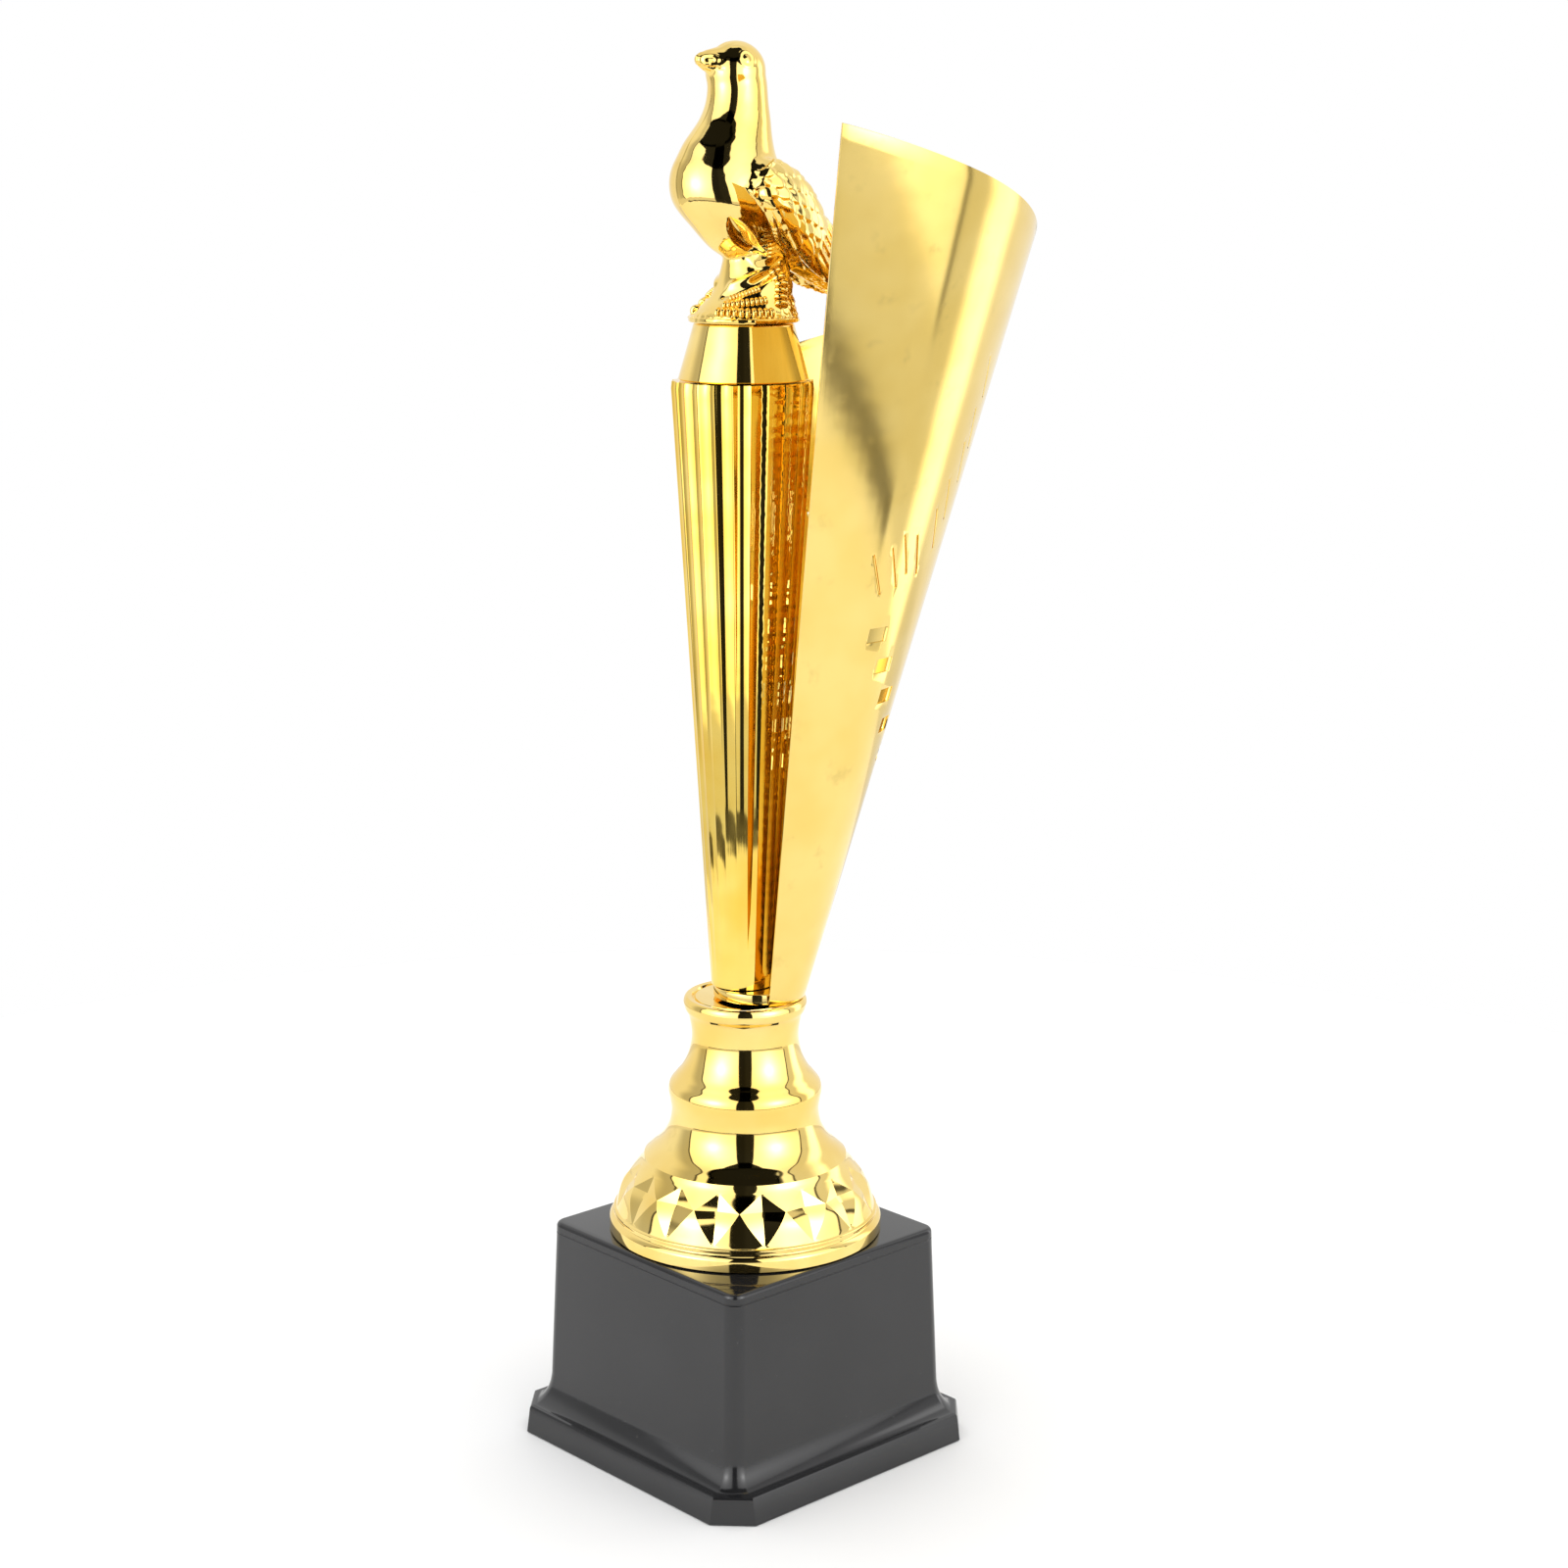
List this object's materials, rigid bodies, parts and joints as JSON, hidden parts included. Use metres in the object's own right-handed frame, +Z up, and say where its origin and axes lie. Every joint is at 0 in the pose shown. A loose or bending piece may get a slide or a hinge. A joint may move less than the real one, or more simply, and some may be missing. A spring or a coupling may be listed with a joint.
{
  "type": "pigeon trophy cup",
  "caption": "Standing gold award: a pigeon on a fluted column in front of a rolled, pierced cup, on a turned riser and a square black plinth.",
  "frame": {"origin": "centre of the plinth's flat underside", "axes": "+Z up along the column; the plinth's sides lie along X and Y, with its front face towards -Y; the cup stands towards +X and +Y"},
  "size_m": [0.1267, 0.1167, 0.382],
  "materials": {
    "plinth_black": "glossy black moulding with fine scuffs",
    "riser_gold": "mirror-like yellow gold metallised coat",
    "collar_gold": "mirror-like yellow gold metallised coat",
    "column_gold": "mirror-like yellow gold metallised coat",
    "cap_gold": "mirror-like yellow gold metallised coat",
    "pigeon_gold": "mirror-like yellow gold metallised coat",
    "cup_gold": "satin to mirror gold metallised sheet"
  },
  "bodies": {
    "root": {"plinth": "plinth_black", "riser": "riser_gold", "collar": "collar_gold", "fluted_column": "column_gold", "column_cap": "cap_gold", "pigeon": "pigeon_gold", "cup": "cup_gold"}
  },
  "joints": []
}
